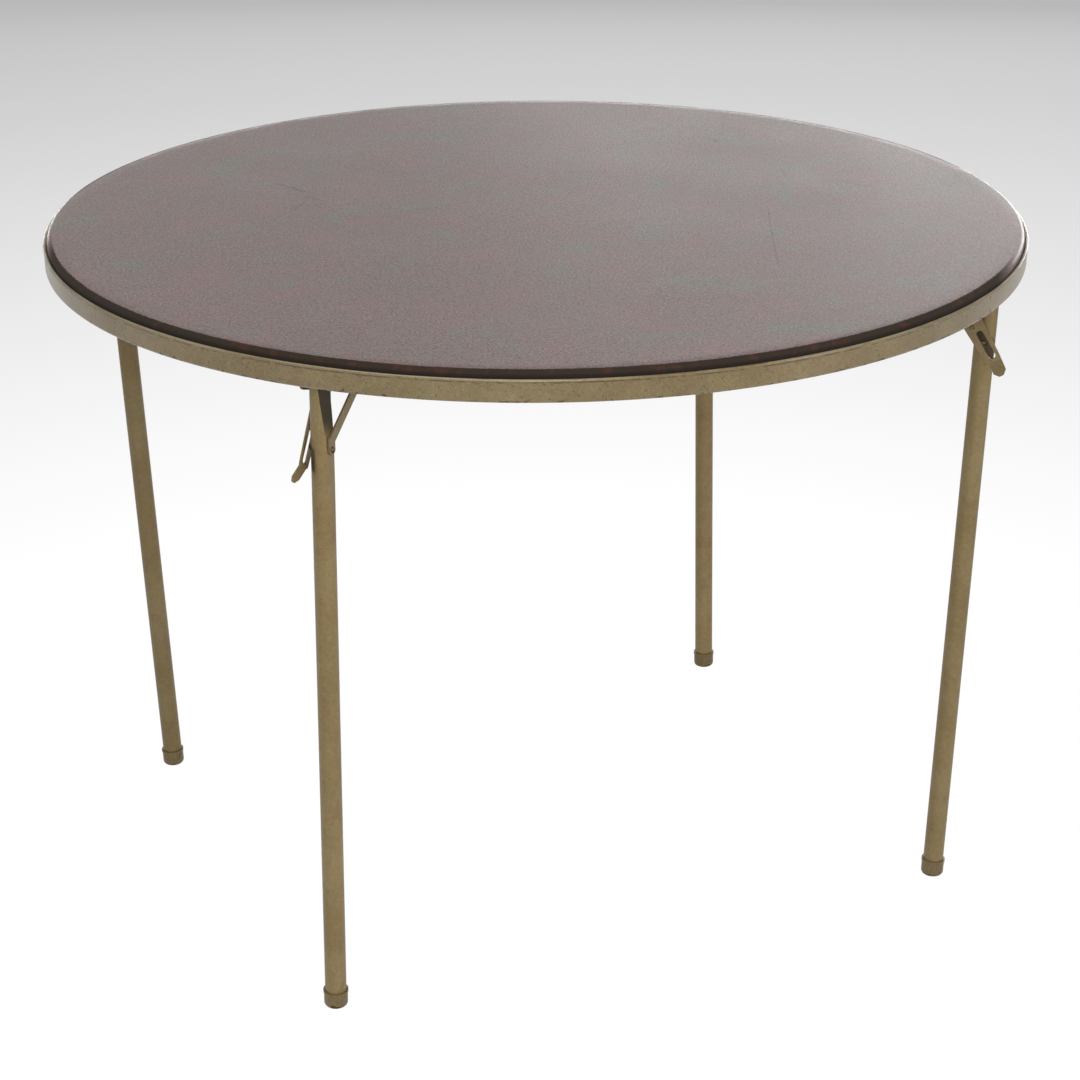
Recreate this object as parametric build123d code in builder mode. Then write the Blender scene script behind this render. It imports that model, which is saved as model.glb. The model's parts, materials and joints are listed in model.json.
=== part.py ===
from build123d import *
from math import cos, radians, sin, tan
import os

# A round folding card table.
# The origin is on the floor under the middle of the top. +Z is up.
# Leg 1 stands at the front left, and the others follow anticlockwise seen from above.

# Overall sizes
table_height = 705.0
rim_radius = 508.0

# Covered top, from the vinyl down to the rim's ledge
vinyl_gauge = 0.8
padding_thickness = 2.4
board_thickness = 6.0
panel_inset = 4.0
vinyl_edge_round = 3.0
vinyl_turn_under = 12.0
vinyl_turn_round = 0.7

# Roll-formed rim
rim_height = 22.5
rim_gauge = 1.2
lip_drop = 7.0
bead_height = 3.4
bead_depth = 0.9
bead_round = 1.15
jog_round = 1.2
panel_gap = 0.4
ledge_width = 24.0
lower_return = 9.0
hem_height = 3.0
rim_bend_round = 2.2

# Leg hinges: azimuths seen from above, and the place of each hinge pin
hinge_azimuths = (-114.5, -15.8, 64.6, 165.1)
hinge_inset = 33.0
hinge_drop = 27.0
leg_lean = 2.0
leg_skew = 1.8

# Folding angles. Legs 2 and 4 stop short and lie under legs 1 and 3.
level_fold = 88.0
lower_fold = 84.5

# Leg tube
tube_radius = 10.75
tube_gauge = 1.2
dish_depth = 6.2
dish_floor_length = 28.0
brace_seat_start = 58.0
brace_seat_end = 85.0
brace_seat_gap = 0.5
dish_length = 150.0

# Foot cap
cap_radius = 12.0
cap_height = 19.0
cap_floor = 4.0
cap_collar_height = 3.0
cap_collar_proud = 0.6
cap_end_round = 5.0
cap_sink = 0.9
cap_clearance = 0.06

# Leg bracket
bracket_gauge = 2.0
slot_cheek_y = 11.4
lever_cheek_y = 13.4
bracket_nose = 13.0
bracket_toe = 12.0
lever_cheek_length = 36.0
bracket_end_margin = 11.0
slot_wall = 8.0
slot_step_shares = (0, 0.17, 0.34, 0.5, 0.67, 0.84, 1)
cheek_corner = 7.0
ear_round = 5.5
tongue_half_width = 27.0
tongue_reach = 22.0
tongue_start = 1.0

# Hinge pin and its bush
hinge_pin_radius = 4.0
pin_head_radius = 6.6
pin_head_height = 1.6
small_head_height = 1.0
head_dome = 0.8
running_clearance = 0.06
seat_clearance = 0.03
bush_radius = 6.8
side_clearance = 0.3

# Brace
brace_rivet_drop = 72.0
brace_rise_angle = 39.3
brace_length = 102.7
brace_kink = 9.0
brace_width = 10.5
brace_gauge = 2.0
brace_inner_y = 6.4
brace_turn_ratio = -1.5
brace_rivet_radius = 2.0
brace_rivet_head = 3.0
stud_head_radius = 4.0
stud_head_height = 1.3
brace_pin_radius = 2.8
brace_pin_head = 4.8
brace_pin_collar = 4.0
slot_clearance = 0.3

# Release lever
lever_pin_inset = 14.5
lever_pin_drop = 54.4
lever_pin_radius = 1.7
lever_pin_head = 2.4
lever_slope = 58.6
lever_gauge = 1.6
lever_gap = 0.4
lever_width = 22.4
lever_foot_width = 16.6
lever_offset = 2.7
lever_reach = 42.0
lever_top = 18.0
lever_corner = 3.0
lever_slot_offset = 4.0
lever_slot_width = 7.4
lever_slot_start = 6.0
lever_slot_end = 38.5
tab_width = 13.5
tab_length = 16.5
tab_bend = 22.0
tab_corner = 4.4

# Screws
screw_radius = 2.1
screw_head_radius = 4.2
screw_head_height = 1.9
screw_bite = 5.0
screw_inset = 5.0
rim_screw_count = 8
rim_screw_start = 40.0
bracket_screw_spread = 20.5
inner_screw_margin = 10.0

# One overrun serves every cut that passes right through
overrun = 5.0

# Radii and levels worked out from the sizes above
panel_radius = rim_radius - panel_inset
ledge_inner_radius = panel_radius - ledge_width
hinge_radius = rim_radius - hinge_inset
lip_z = table_height - lip_drop
rim_bottom_z = lip_z - rim_height
padding_top_z = table_height - vinyl_gauge
board_top_z = padding_top_z - padding_thickness
board_bottom_z = board_top_z - board_thickness
ledge_top_z = board_bottom_z - vinyl_gauge
web_top_z = ledge_top_z - rim_gauge
hinge_z = table_height - hinge_drop
board_radius = panel_radius - vinyl_gauge
screw_circle = ledge_inner_radius + screw_inset
screw_top_z = board_bottom_z + screw_bite
screw_x = screw_circle - hinge_radius

# The same levels measured from a hinge pin
web_top = web_top_z - hinge_z
web_under = web_top - bracket_gauge
screw_top = screw_top_z - hinge_z
floor_under = -hinge_z

os.makedirs("parts", exist_ok=True)


def write_piece(piece, name):
    """Label one finished piece and write it as its own file."""
    piece.label = name
    export_step(piece, f"parts/{name}.step")


def hinge_frame(azimuth):
    """The frame of one leg: its hinge pin's middle, x outward, y along the pin."""
    outward = Vector(cos(radians(azimuth)), sin(radians(azimuth)), 0)
    return Plane(origin=outward * hinge_radius + Vector(0, 0, hinge_z), x_dir=outward, z_dir=(0, 0, 1))


leg_frames = [hinge_frame(azimuth) for azimuth in hinge_azimuths]
leg_folds = [level_fold, lower_fold, level_fold, lower_fold]


def brace_path(fold):
    """Centre of the brace pin, in the hinge frame, when the leg has folded in by this angle."""
    leg_angle = radians(leg_lean + fold)
    brace_angle = radians(brace_rise_angle + fold * (1 + brace_turn_ratio))
    pin_x = -brace_rivet_drop * sin(leg_angle) - brace_length * cos(brace_angle)
    pin_z = -brace_rivet_drop * cos(leg_angle) + brace_length * sin(brace_angle)
    return pin_x, pin_z


def stepped_pin(steps, domed_ends):
    """A pin along Y made of cylinders (radius, from Y, down to Y), its outer heads rounded."""
    with BuildPart() as pin:
        for radius, start, end in steps:
            with BuildSketch(Plane.XZ.offset(-start)):
                Circle(radius)
            extrude(amount=start - end)
        for end in domed_ends:
            rim = pin.edges().filter_by(GeomType.CIRCLE).group_by(Axis.Y)[end]
            fillet(rim, radius=head_dome)
    return pin.part


def at_each_leg(form):
    """Four copies of one piece, one at each hinge, as one group."""
    with BuildPart() as group:
        for frame in leg_frames:
            add(form.moved(frame.location))
    return group.part


# The hardboard disc, with a hole for every screw
inner_screw_x = brace_path(level_fold)[0] + inner_screw_margin
bracket_screw_places = [(screw_x, bracket_screw_spread), (screw_x, -bracket_screw_spread), (inner_screw_x, 0)]
with BuildPart() as screw_holes:
    with BuildSketch(Plane.XY.offset(web_top_z - overrun)):
        with PolarLocations(screw_circle, rim_screw_count, start_angle=rim_screw_start):
            Circle(screw_radius + seat_clearance)
    extrude(amount=screw_top_z - web_top_z + overrun)
    for frame in leg_frames:
        with BuildSketch(frame.offset(web_under - overrun)):
            with Locations(*bracket_screw_places):
                Circle(screw_radius + seat_clearance)
        extrude(amount=screw_top - web_under + overrun)

with BuildPart() as top_board:
    with BuildSketch(Plane.XY.offset(board_bottom_z)):
        Circle(board_radius)
    extrude(amount=board_thickness)
    add(screw_holes.part, mode=Mode.SUBTRACT)
write_piece(top_board.part, "top_board")

# The felt pad, rounded at its upper edge
with BuildPart() as top_padding:
    with BuildSketch(Plane.XY.offset(board_top_z)):
        Circle(board_radius)
    extrude(amount=padding_thickness)
    fillet(top_padding.edges().group_by(Axis.Z)[-1], radius=vinyl_edge_round - vinyl_gauge)
write_piece(top_padding.part, "top_padding")

# The vinyl: over the pad, down the edge and turned under the board
with BuildPart() as covered_core:
    with BuildSketch(Plane.XY.offset(board_bottom_z)):
        Circle(board_radius)
    extrude(amount=board_thickness + padding_thickness)
    fillet(covered_core.edges().group_by(Axis.Z)[-1], radius=vinyl_edge_round - vinyl_gauge)
with BuildPart() as vinyl_cover:
    with BuildSketch(Plane.XY.offset(ledge_top_z)):
        Circle(panel_radius)
    extrude(amount=table_height - ledge_top_z)
    fillet(vinyl_cover.edges().group_by(Axis.Z)[-1], radius=vinyl_edge_round)
    fillet(vinyl_cover.edges().group_by(Axis.Z)[0], radius=vinyl_turn_round)
    add(covered_core.part, mode=Mode.SUBTRACT)
    with BuildSketch(Plane.XY.offset(ledge_top_z)):
        Circle(panel_radius - vinyl_turn_under)
    extrude(amount=vinyl_gauge, mode=Mode.SUBTRACT)
write_piece(vinyl_cover.part, "vinyl_cover")

# The rim: one strip rolled into a bead, a face, a turned-in foot and an inner ledge
bead_r = rim_radius - rim_gauge / 2
face_r = bead_r - bead_depth
inner_r = panel_radius + panel_gap + rim_gauge / 2
return_r = face_r - lower_return
foot_z = rim_bottom_z + rim_gauge / 2
with BuildPart() as rim_ring:
    with BuildSketch(Plane.XZ):
        with BuildLine():
            FilletPolyline(
                (ledge_inner_radius, ledge_top_z - rim_gauge / 2),
                (inner_r, ledge_top_z - rim_gauge / 2),
                (inner_r, lip_z - rim_gauge / 2),
                (bead_r, lip_z - rim_gauge / 2),
                (bead_r, lip_z - bead_height),
                (face_r, lip_z - bead_height - bead_depth),
                (face_r, foot_z),
                (return_r, foot_z),
                (return_r, foot_z + hem_height),
                radius=(jog_round, bead_round, bead_round, jog_round, jog_round, rim_bend_round, jog_round),
            )
            offset(amount=rim_gauge / 2, side=Side.BOTH)
        make_face()
    revolve(axis=Axis.Z)
    add(screw_holes.part, mode=Mode.SUBTRACT)
write_piece(rim_ring.part, "rim_ring")

# The leg's own axis leans inward and aside, so the frames along it are tilted
leg_rise = Vector(tan(radians(leg_lean)), tan(radians(leg_skew)), 1)
leg_axis = Plane(origin=(0, 0, 0), x_dir=(1, 0, 0), z_dir=leg_rise)
leg_side = Plane(origin=(0, 0, 0), x_dir=leg_axis.x_dir, z_dir=-leg_axis.y_dir)
leg_face = Plane(origin=(0, 0, 0), x_dir=leg_axis.y_dir, z_dir=leg_axis.x_dir)
leg_run = hinge_z * leg_rise.length
tube_run = leg_run - cap_floor
rivet_x = -brace_rivet_drop * sin(radians(leg_lean))
rivet_z = -brace_rivet_drop * cos(radians(leg_lean))
rivet_shift = brace_rivet_drop * tan(radians(leg_skew))


def brace_seat(drop):
    """How far the brace's seat stands from the leg's middle, this far below the hinge."""
    return brace_inner_y - brace_seat_gap + drop * tan(radians(leg_skew))


def dished_rod(radius):
    """A rod of the leg's length, with a dish for the hinge and a seat for the brace pressed into it."""
    with BuildPart() as rod:
        with BuildSketch(leg_axis.offset(-tube_run)):
            Circle(radius)
        extrude(amount=tube_run + tube_radius)
        with BuildSketch(leg_face):
            with BuildLine():
                Polyline(
                    (radius, -dish_length),
                    (radius - tube_radius + brace_seat(brace_seat_end), -brace_seat_end),
                    (radius - tube_radius + brace_seat(brace_seat_start), -brace_seat_start),
                    (radius - dish_depth, -dish_floor_length),
                    (radius - dish_depth, tube_radius),
                    (radius + overrun, tube_radius),
                    (radius + overrun, -dish_length),
                    close=True,
                )
            make_face()
        extrude(amount=radius + overrun, both=True, mode=Mode.SUBTRACT)
    return rod.part


# The leg tube: dished beside the hinge, rounded at its top, drilled for the hinge pin and the rivet
tube_bore = dished_rod(tube_radius - tube_gauge)
tube_rod = dished_rod(tube_radius)
with BuildPart() as leg_tube:
    add(tube_rod)
    add(tube_bore, mode=Mode.SUBTRACT)
    with BuildSketch(leg_side):
        Rectangle(2 * (tube_radius + overrun), tube_radius + overrun, align=(Align.CENTER, Align.MIN))
        Circle(tube_radius, mode=Mode.SUBTRACT)
    extrude(amount=tube_radius + overrun, both=True, mode=Mode.SUBTRACT)
    with BuildSketch(Plane.XZ):
        Circle(hinge_pin_radius + running_clearance)
        with Locations((rivet_x, rivet_z)):
            Circle(brace_rivet_radius + seat_clearance)
    extrude(amount=tube_radius + overrun, both=True, mode=Mode.SUBTRACT)

# The foot cap: a cup pressed on to the tube's end, cut level with the floor
cap_bottom = -leg_run - cap_sink
cap_top = cap_bottom + cap_height
with BuildPart() as foot_cap:
    with BuildSketch(leg_side) as cap_section:
        with BuildLine():
            Polyline(
                (0, cap_bottom),
                (cap_radius, cap_bottom),
                (cap_radius, cap_top - cap_collar_height),
                (cap_radius + cap_collar_proud, cap_top - cap_collar_height),
                (cap_radius + cap_collar_proud, cap_top),
                (tube_radius + cap_clearance, cap_top),
                (tube_radius + cap_clearance, -tube_run),
                (0, -tube_run),
                close=True,
            )
        make_face()
        fillet(cap_section.vertices().group_by(Axis.Y)[0].sort_by(Axis.X)[-1], radius=cap_end_round)
    revolve(axis=Axis((0, 0, 0), leg_rise))
    split(bisect_by=Plane.XY.offset(floor_under), keep=Keep.TOP)

# Pins and rivets, each along the hinge's own direction
slot_cheek_outer = slot_cheek_y + bracket_gauge
lever_cheek_outer = -lever_cheek_y - bracket_gauge
lever_inner = lever_cheek_outer - lever_gap
lever_outer = lever_inner - lever_gauge
brace_outer_y = brace_inner_y + brace_gauge
rivet_head_y = brace_outer_y + side_clearance
stud_seat_y = -tube_radius - rivet_shift - side_clearance
pin_head_y = slot_cheek_outer + side_clearance
hinge_pin = stepped_pin(
    [
        (pin_head_radius, slot_cheek_outer + pin_head_height, slot_cheek_outer),
        (hinge_pin_radius, slot_cheek_outer, lever_cheek_outer),
        (pin_head_radius, lever_cheek_outer, lever_cheek_outer - pin_head_height),
    ],
    (0, -1),
)
lever_pin = stepped_pin(
    [
        (lever_pin_radius, -lever_cheek_y, lever_outer - side_clearance),
        (lever_pin_head, lever_outer - side_clearance, lever_outer - side_clearance - small_head_height),
    ],
    (0,),
)
brace_rivet = stepped_pin(
    [
        (brace_rivet_head, rivet_head_y + small_head_height, rivet_head_y),
        (brace_rivet_radius, rivet_head_y, stud_seat_y),
        (stud_head_radius, stud_seat_y, stud_seat_y - stud_head_height),
    ],
    (0, -1),
)
brace_pin = stepped_pin(
    [
        (brace_pin_head, pin_head_y + pin_head_height, pin_head_y),
        (brace_pin_radius, pin_head_y, slot_cheek_y - side_clearance),
        (brace_pin_collar, slot_cheek_y - side_clearance, brace_outer_y),
        (brace_pin_radius, brace_outer_y, brace_inner_y),
    ],
    (-1,),
)

# The bush that fills the space between the leg's dish and the slotted cheek
bush_start = slot_cheek_y - side_clearance
dish_floor_y = tube_radius - dish_depth + bush_radius * tan(radians(leg_skew))
with BuildPart() as hinge_bush:
    with BuildSketch(Plane.XZ.offset(-bush_start)):
        Circle(bush_radius)
        Circle(hinge_pin_radius + seat_clearance, mode=Mode.SUBTRACT)
    extrude(amount=bush_start - dish_floor_y - side_clearance)

# The brace: a flat bar that starts up along the leg, then turns to the pin in the bracket's slot
pin_x, pin_z = brace_path(0)
kink_share = 1 - brace_kink / brace_rivet_drop
kink_x = rivet_x * kink_share
kink_z = rivet_z * kink_share
with BuildPart() as brace_bar:
    with BuildSketch(Plane.XZ.offset(-brace_outer_y)):
        SlotCenterPoint(((rivet_x + kink_x) / 2, (rivet_z + kink_z) / 2), (kink_x, kink_z), brace_width)
        SlotCenterPoint(((pin_x + kink_x) / 2, (pin_z + kink_z) / 2), (pin_x, pin_z), brace_width)
        with Locations((rivet_x, rivet_z)):
            Circle(brace_rivet_radius + running_clearance, mode=Mode.SUBTRACT)
        with Locations((pin_x, pin_z)):
            Circle(brace_pin_radius + seat_clearance, mode=Mode.SUBTRACT)
    extrude(amount=brace_gauge)

# The release lever: a slotted plate that hangs on its pin, with a thumb tab bent outward
lever_run = Vector(cos(radians(lever_slope)), 0, -sin(radians(lever_slope)))
lever_pivot = Vector(-lever_pin_inset, lever_inner, -lever_pin_drop)
lever_plane = Plane(origin=lever_pivot, x_dir=lever_run, z_dir=(0, -1, 0))
tab_run = lever_run * cos(radians(tab_bend)) + Vector(0, -sin(radians(tab_bend)), 0)
tab_root = lever_plane.from_local_coords((lever_reach, lever_slot_offset, 0))
tab_plane = Plane(origin=tab_root, x_dir=tab_run, z_dir=tab_run.cross(lever_plane.y_dir))
slot_length = lever_slot_end - lever_slot_start
with BuildPart() as release_lever:
    with BuildSketch(lever_plane):
        with BuildLine():
            Polyline(
                (-lever_top, lever_offset + lever_width / 2),
                (-lever_top, lever_offset - lever_width / 2),
                (lever_reach, lever_offset - lever_foot_width / 2),
                (lever_reach, lever_offset + lever_foot_width / 2),
                close=True,
            )
        make_face()
        fillet(vertices(), radius=lever_corner)
        with Locations((lever_slot_start + slot_length / 2, lever_slot_offset)):
            SlotOverall(slot_length, lever_slot_width, mode=Mode.SUBTRACT)
        Circle(lever_pin_radius + running_clearance, mode=Mode.SUBTRACT)
    extrude(amount=lever_gauge)
    with BuildSketch(tab_plane):
        with Locations(((tab_length - lever_corner) / 2, 0)):
            Rectangle(tab_length + lever_corner, tab_width)
        chamfer(vertices().group_by(Axis.X)[-1], length=tab_corner)
    extrude(amount=lever_gauge)


def bracket_form(fold):
    """One bracket: a web under the ledge, a slotted cheek and a cheek with the lever's ear."""
    slot_half = brace_pin_radius + slot_clearance
    path = [brace_path(fold * step_share) for step_share in slot_step_shares]
    low = min(z for x, z in path) - slot_half - slot_wall
    start_x = path[0][0] + slot_half + slot_wall
    end_x = path[-1][0] - slot_half - bracket_end_margin
    with BuildPart() as bracket:
        with BuildSketch(Plane.XY.offset(web_under)):
            with Locations(((bracket_nose + end_x) / 2, (slot_cheek_outer + lever_cheek_outer) / 2)):
                Rectangle(bracket_nose - end_x, slot_cheek_outer - lever_cheek_outer)
            with Locations(((tongue_reach + tongue_start) / 2, 0)):
                RectangleRounded(tongue_reach - tongue_start, 2 * tongue_half_width, cheek_corner)
            with Locations(*bracket_screw_places):
                Circle(screw_radius + seat_clearance, mode=Mode.SUBTRACT)
        extrude(amount=bracket_gauge)
        with BuildSketch(Plane.XZ.offset(-slot_cheek_outer)) as slot_cheek:
            with BuildLine():
                FilletPolyline(
                    (bracket_nose, web_top),
                    (bracket_nose, -bracket_toe),
                    (start_x + cheek_corner, -bracket_toe),
                    (start_x - slot_wall, low),
                    (end_x, low),
                    (end_x, web_top),
                    close=False,
                    radius=cheek_corner,
                )
                Line((end_x, web_top), (bracket_nose, web_top))
            make_face()
            Circle(hinge_pin_radius + seat_clearance, mode=Mode.SUBTRACT)
            with BuildLine(mode=Mode.PRIVATE) as slot_line:
                Spline(*path)
            trace(slot_line.line, line_width=2 * slot_half, mode=Mode.SUBTRACT)
            with Locations(path[0], path[-1]):
                Circle(slot_half, mode=Mode.SUBTRACT)
        extrude(amount=bracket_gauge)
        with BuildSketch(Plane.XZ.offset(lever_cheek_y)):
            with BuildLine():
                FilletPolyline(
                    (bracket_nose, web_top),
                    (bracket_nose, -bracket_toe),
                    (ear_round - lever_pin_inset, -bracket_toe - cheek_corner),
                    (ear_round - lever_pin_inset, -lever_pin_drop),
                    (-ear_round - lever_pin_inset, -lever_pin_drop),
                    (-lever_cheek_length, -bracket_toe),
                    (-lever_cheek_length, web_top),
                    radius=(cheek_corner, cheek_corner, 0, 0, cheek_corner),
                )
                Line((-lever_cheek_length, web_top), (bracket_nose, web_top))
            make_face()
            with Locations((-lever_pin_inset, -lever_pin_drop)):
                Circle(ear_round)
                Circle(lever_pin_radius + seat_clearance, mode=Mode.SUBTRACT)
            Circle(hinge_pin_radius + seat_clearance, mode=Mode.SUBTRACT)
        extrude(amount=bracket_gauge)
    return bracket.part


def screw_form(head_seat, top):
    """A pan-head screw along Z, its head below its seat."""
    with BuildPart() as screw:
        with BuildSketch(Plane.XY.offset(head_seat)):
            Circle(screw_radius)
        extrude(amount=top - head_seat)
        with BuildSketch(Plane.XY.offset(head_seat)):
            Circle(screw_head_radius)
        extrude(amount=-screw_head_height)
        fillet(screw.edges().group_by(Axis.Z)[0], radius=head_dome)
    return screw.part


rim_screw = screw_form(web_top_z, screw_top_z)
with BuildPart() as rim_screws:
    with PolarLocations(screw_circle, rim_screw_count, start_angle=rim_screw_start):
        add(rim_screw)
bracket_screw = screw_form(web_under, screw_top)
with BuildPart() as screw_trio:
    with Locations(*bracket_screw_places):
        add(bracket_screw)

write_piece(rim_screws.part, "rim_screws")
write_piece(at_each_leg(screw_trio.part), "bracket_screws")
write_piece(at_each_leg(hinge_pin), "hinge_pins")
write_piece(at_each_leg(hinge_bush.part), "hinge_bushes")
lever_pin_place = Location((-lever_pin_inset, 0, -lever_pin_drop))
write_piece(at_each_leg(lever_pin.moved(lever_pin_place)), "lever_pins")

rivet_place = Location((rivet_x, 0, rivet_z))
brace_pin_place = Location((pin_x, 0, pin_z))
bracket_forms = {fold: bracket_form(fold) for fold in (level_fold, lower_fold)}
for number, (frame, fold) in enumerate(zip(leg_frames, leg_folds), start=1):
    write_piece(bracket_forms[fold].moved(frame.location), f"leg_bracket_{number}")
    write_piece(leg_tube.part.moved(frame.location), f"leg_tube_{number}")
    write_piece(foot_cap.part.moved(frame.location), f"foot_cap_{number}")
    write_piece(brace_rivet.moved(rivet_place).moved(frame.location), f"brace_rivet_{number}")
    write_piece(brace_bar.part.moved(frame.location), f"brace_bar_{number}")
    write_piece(brace_pin.moved(brace_pin_place).moved(frame.location), f"brace_pin_{number}")
    write_piece(release_lever.part.moved(frame.location), f"release_lever_{number}")
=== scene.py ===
import json
from math import cos, pi, radians, sin

import bpy
import numpy as np
from mathutils import Matrix, Vector


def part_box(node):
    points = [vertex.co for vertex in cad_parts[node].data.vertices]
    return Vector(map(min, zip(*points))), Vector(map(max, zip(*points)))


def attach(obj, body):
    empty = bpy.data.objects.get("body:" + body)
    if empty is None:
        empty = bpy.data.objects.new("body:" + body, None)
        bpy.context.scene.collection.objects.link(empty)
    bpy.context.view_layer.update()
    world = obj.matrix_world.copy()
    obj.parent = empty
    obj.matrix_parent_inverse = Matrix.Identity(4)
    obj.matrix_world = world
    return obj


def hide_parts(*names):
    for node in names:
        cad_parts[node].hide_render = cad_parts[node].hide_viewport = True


# A round folding card table: vinyl-covered padded top, rolled metal rim, four round legs that fold under.
# Everything is in metres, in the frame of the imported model: the floor is z = 0 and +Z is up.
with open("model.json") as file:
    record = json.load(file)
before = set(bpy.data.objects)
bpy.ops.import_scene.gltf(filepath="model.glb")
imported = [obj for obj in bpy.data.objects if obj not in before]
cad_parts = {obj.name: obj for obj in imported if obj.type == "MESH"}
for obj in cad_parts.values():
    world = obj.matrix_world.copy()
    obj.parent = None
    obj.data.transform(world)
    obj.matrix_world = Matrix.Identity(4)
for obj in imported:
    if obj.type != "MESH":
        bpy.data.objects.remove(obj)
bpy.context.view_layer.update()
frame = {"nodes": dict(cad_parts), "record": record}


# The studio floor: a wide pale sheet that darkens far away and keeps the table's shadow.
# It glows only where it is seen, directly or in a reflection, so that it doesn't light the table from below.
def paint(red, green, blue):
    """A colour given in 8-bit screen values, as linear light with full alpha."""
    levels = np.array([red, green, blue]) / 255
    linear = np.where(levels > 0.04045, ((levels + 0.055) / 1.055) ** 2.4, levels / 12.92)
    return (*linear.tolist(), 1.0)


def grey(level):
    """An even grey of one 8-bit screen value."""
    return paint(level, level, level)


def node(tree, kind, inputs=None, **settings):
    """Adds one shader node. Inputs are values, or sockets to link from; settings are its own choices."""
    made = tree.nodes.new("ShaderNode" + kind)
    for name, value in settings.items():
        setattr(made, name, value)
    for key, value in (inputs or {}).items():
        if isinstance(value, bpy.types.NodeSocket):
            tree.links.new(value, made.inputs[key])
        else:
            made.inputs[key].default_value = value
    return made


def calc(tree, operation, first, second=0.0):
    """One step of arithmetic between two numbers."""
    return node(tree, "Math", {0: first, 1: second}, operation=operation).outputs[0]


def vector_calc(tree, operation, first, second=(0.0, 0.0, 0.0)):
    """One step of arithmetic between two vectors. A length, distance or dot product comes out as a number."""
    made = node(tree, "VectorMath", {0: first, 1: second}, operation=operation)
    return made.outputs["Value" if operation in ("LENGTH", "DISTANCE", "DOT_PRODUCT") else "Vector"]


def new_material(name):
    """A material, its node tree and the place of the shaded point in the table's own frame."""
    material = bpy.data.materials.new(name)
    material.use_nodes = True
    tree = material.node_tree
    tree.nodes.clear()
    return material, tree, node(tree, "TexCoord").outputs["Object"]


def finish_material(tree, shader):
    """Joins the last shader to the material's surface."""
    tree.links.new(shader, node(tree, "OutputMaterial").inputs["Surface"])


def seen_share(tree):
    """One for a ray from the camera, whether straight, off gloss or through glass, and zero for others."""
    rays = node(tree, "LightPath").outputs
    passed_on = calc(tree, "MAXIMUM", rays["Is Glossy Ray"], rays["Is Transmission Ray"])
    return calc(tree, "MAXIMUM", rays["Is Camera Ray"], passed_on)


floor_half = 14.0
# Distance from the table's middle in metres, and the floor's grey level there
floor_tones = ((0.9, 255), (1.41, 246), (1.94, 235), (2.6, 222), (3.45, 205), (4.6, 182), (9.0, 170))
floor_glow = 1.07
floor_glow_share = 0.93
studio_grey = grey(200)

floor_mesh = bpy.data.meshes.new("studio_floor")
corners = [(-1, -1), (1, -1), (1, 1), (-1, 1)]
floor_mesh.from_pydata([(x * floor_half, y * floor_half, 0) for x, y in corners], [], [(0, 1, 2, 3)])
studio_floor = bpy.data.objects.new("studio_floor", floor_mesh)
bpy.context.scene.collection.objects.link(studio_floor)

floor_material, tree, place = new_material("studio_floor")
farthest = floor_tones[-1][0]
away = vector_calc(tree, "LENGTH", place)
tone = node(tree, "ValToRGB", {0: calc(tree, "DIVIDE", away, farthest)})
stops = tone.color_ramp.elements
stops.remove(stops[1])
stops[0].position = floor_tones[0][0] / farthest
stops[0].color = grey(floor_tones[0][1])
for reach, level in floor_tones[1:]:
    stops.new(reach / farthest).color = grey(level)
glow = node(tree, "Emission", {"Color": tone.outputs[0], "Strength": floor_glow}).outputs[0]
matt = node(tree, "BsdfDiffuse", {"Color": studio_grey}).outputs[0]
glowing = calc(tree, "MULTIPLY", seen_share(tree), floor_glow_share)
finish_material(tree, node(tree, "MixShader", {0: glowing, 1: matt, 2: glow}).outputs[0])
floor_mesh.materials.append(floor_material)


# The studio's air and lamps: a grey wall behind everything, faint light from all round, and soft boxes.
# Three long boxes stand low behind the table and lay a sheen over the far side of the top.
table_middle = (0.0, 0.0, 0.5)
air_strength = 0.20

world = bpy.data.worlds.new("studio")
world.use_nodes = True
tree = world.node_tree
tree.nodes.clear()
wall = node(tree, "Background", {"Color": studio_grey, "Strength": 1.0}).outputs[0]
air = node(tree, "Background", {"Color": (1.0, 1.0, 1.0, 1.0), "Strength": air_strength}).outputs[0]
sky = node(tree, "MixShader", {0: seen_share(tree), 1: air, 2: wall}).outputs[0]
tree.links.new(sky, node(tree, "OutputWorld").inputs["Surface"])
bpy.context.scene.world = world


def soft_box(name, place, width, height, watts):
    """A rectangular lamp that faces the table's middle."""
    data = bpy.data.lights.new(name, "AREA")
    data.shape = "RECTANGLE"
    data.size = width
    data.size_y = height
    data.energy = watts
    lamp = bpy.data.objects.new(name, data)
    bpy.context.scene.collection.objects.link(lamp)
    lamp.location = place
    lamp.rotation_mode = "QUATERNION"
    lamp.rotation_quaternion = (Vector(table_middle) - Vector(place)).to_track_quat("-Z", "Y")


soft_box("key_light", (0.0, -3.0, 1.6), width=1.0, height=1.3, watts=48)
soft_box("right_light", (2.6, -1.7, 1.0), width=0.7, height=1.5, watts=22)
soft_box("left_light", (-2.8, -0.8, 1.1), width=0.7, height=1.5, watts=7)
soft_box("top_light", (-0.6, -0.5, 3.2), width=1.2, height=1.0, watts=12)
soft_box("back_light", (1.4, 4.3, 1.22), width=3.0, height=0.4, watts=12)
soft_box("back_right_light", (2.4, 4.3, 1.2), width=3.2, height=0.4, watts=20)
soft_box("wide_back_light", (0.3, 4.5, 0.76), width=7.0, height=0.3, watts=100)


# The camera: a long lens in front of the table, above its height and looking down on it.
# Its place and three angles in degrees were fitted to the outline of the top and to the four feet.
focal_pixels = 2786.4
photo_pixels = 1080
camera_place = (-0.01419, -2.81596, 1.49939)
camera_pitch = 22.4345
camera_yaw = 0.3493
camera_roll = -0.2622

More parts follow.
